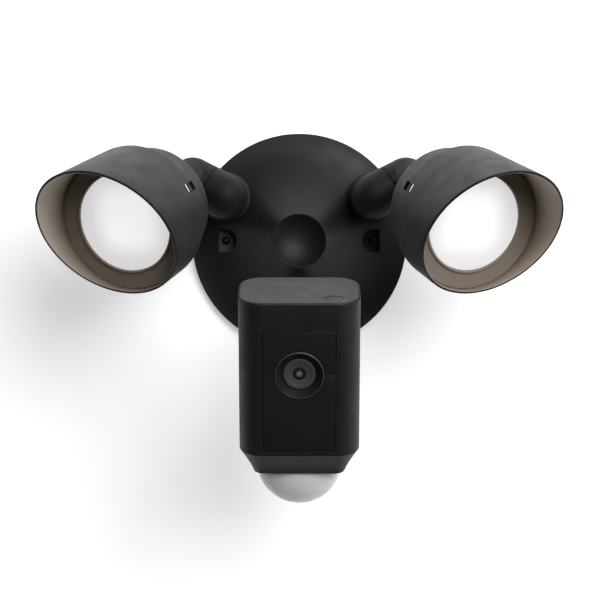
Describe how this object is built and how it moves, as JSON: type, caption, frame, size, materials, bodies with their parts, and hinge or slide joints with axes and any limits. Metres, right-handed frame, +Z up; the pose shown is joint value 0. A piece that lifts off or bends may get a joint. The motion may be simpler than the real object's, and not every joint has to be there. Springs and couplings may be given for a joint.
{
  "type": "floodlight security camera",
  "caption": "Wall-mounted outdoor security camera with swivelling floodlights on a round canopy, a ball-jointed camera and a motion sensor dome.",
  "frame": {"origin": "on the wall plane at the centre of the canopy, midway between the bracket's box screw slots", "axes": "+Z up, +Y into the wall, +X to the right for a viewer who faces the wall"},
  "size_m": [0.2882, 0.1698, 0.21],
  "materials": {
    "foam": "matte closed-cell foam",
    "steel": "zinc plated",
    "green_screw": "green plated",
    "circuit_board": "solder mask",
    "terminal": "matte",
    "black_canopy": "satin moulded",
    "dark_screw": "blackened steel",
    "black_arm": "satin",
    "black_hood": "satin",
    "black_cap": "satin",
    "aluminium": "cast",
    "led_white": "white board",
    "reflector": "vacuum metallised white",
    "rubber": "matte",
    "frosted_lens": "frosted, lit",
    "bronze_bezel": "satin, lit by the lamp",
    "liner": "low-friction nylon",
    "black_housing": "satin moulded",
    "dome": "translucent, fine",
    "window": "smoked",
    "lens_trim": "semi-gloss",
    "lens_barrel": "matte grey",
    "lens_glass": "coated",
    "speaker": "paper and steel"
  },
  "bodies": {
    "base": {"wall_gasket": "foam", "mounting_bracket": "steel", "bracket_inserts": "steel", "ground_screw": "green_screw", "power_board": "circuit_board", "terminal_block": "terminal", "canopy": "black_canopy", "canopy_screws": "dark_screw", "port_collars": "black_canopy"},
    "left_arm": {"left_arm_elbow": "black_arm", "left_arm_nut": "steel", "left_pivot_tube": "steel"},
    "left_joint": {"left_knuckle": "black_arm", "left_lock_screw": "steel", "left_swivel_nut": "steel"},
    "left_lamp": {"left_rear_cap": "black_cap", "left_heat_sink": "aluminium", "left_led_board": "led_white", "left_reflector": "reflector", "left_lens_gasket": "rubber", "left_lens": "frosted_lens", "left_bezel": "bronze_bezel", "left_hood": "black_hood", "left_lamp_screws": "dark_screw"},
    "right_arm": {"right_arm_elbow": "black_arm", "right_arm_nut": "steel", "right_pivot_tube": "steel"},
    "right_joint": {"right_knuckle": "black_arm", "right_lock_screw": "steel", "right_swivel_nut": "steel"},
    "right_lamp": {"right_rear_cap": "black_cap", "right_heat_sink": "aluminium", "right_led_board": "led_white", "right_reflector": "reflector", "right_lens_gasket": "rubber", "right_lens": "frosted_lens", "right_bezel": "bronze_bezel", "right_hood": "black_hood", "right_lamp_screws": "dark_screw"},
    "camera_arm": {"camera_stalk": "black_arm", "stalk_nut": "steel"},
    "camera_cup": {"ball_liner": "liner"},
    "camera_head": {"clamp_ring": "black_housing", "back_cover": "black_housing", "housing_seal": "rubber", "housing_screws": "steel", "camera_housing": "black_housing", "bottom_bezel": "black_housing", "pir_dome": "dome", "pir_board": "circuit_board", "upper_window": "window", "lower_window": "window", "lens_ring": "lens_trim", "lens_barrel": "lens_barrel", "lens_glass": "lens_glass", "sensor_board": "circuit_board", "main_board": "circuit_board", "speaker": "speaker"},
    "button": {"top_button": "black_housing"}
  },
  "joints": [
    {"name": "left_arm_swivel", "type": "hinge", "parent": "base", "child": "left_arm", "pos_m": [-0.04428, -0.045, 0.02629], "axis": [0, -1, 0], "range_deg": [-45, 8]},
    {"name": "left_lamp_tilt", "type": "hinge", "parent": "left_arm", "child": "left_joint", "pos_m": [-0.06268, -0.04122, 0.0356], "axis": [-0.8776, 0.1805, 0.444], "range_deg": [-16, 35]},
    {"name": "left_lamp_turn", "type": "hinge", "parent": "left_joint", "child": "left_lamp", "pos_m": [-0.09615, -0.115, 0.0099], "axis": [-0.3938, -0.8681, -0.3024], "range_deg": [-90, 90]},
    {"name": "right_arm_swivel", "type": "hinge", "parent": "base", "child": "right_arm", "pos_m": [0.04428, -0.045, 0.02629], "axis": [0, 1, 0], "range_deg": [-45, 8]},
    {"name": "right_lamp_tilt", "type": "hinge", "parent": "right_arm", "child": "right_joint", "pos_m": [0.06268, -0.04122, 0.0356], "axis": [-0.8776, -0.1805, -0.444], "range_deg": [-16, 35]},
    {"name": "right_lamp_turn", "type": "hinge", "parent": "right_joint", "child": "right_lamp", "pos_m": [0.09615, -0.115, 0.0099], "axis": [-0.3938, 0.8681, 0.3024], "range_deg": [-90, 90]},
    {"name": "camera_arm_swivel", "type": "hinge", "parent": "base", "child": "camera_arm", "pos_m": [0, -0.1005, -0.0515], "axis": [0, -1, 0], "range_deg": [-12, 12]},
    {"name": "camera_pan", "type": "hinge", "parent": "camera_arm", "child": "camera_cup", "pos_m": [0, -0.1005, -0.0515], "axis": [0, 0, 1], "range_deg": [-26, 26]},
    {"name": "camera_tilt", "type": "hinge", "parent": "camera_cup", "child": "camera_head", "pos_m": [0, -0.1005, -0.0515], "axis": [1, 0, 0], "range_deg": [-28, 10]},
    {"name": "button_press", "type": "slide", "parent": "camera_head", "child": "button", "axis": [0, 0.309, -0.9511], "range_m": [0, 0.0007], "stiffness_N_per_m": 800, "springref_m": -0.0007}
  ]
}
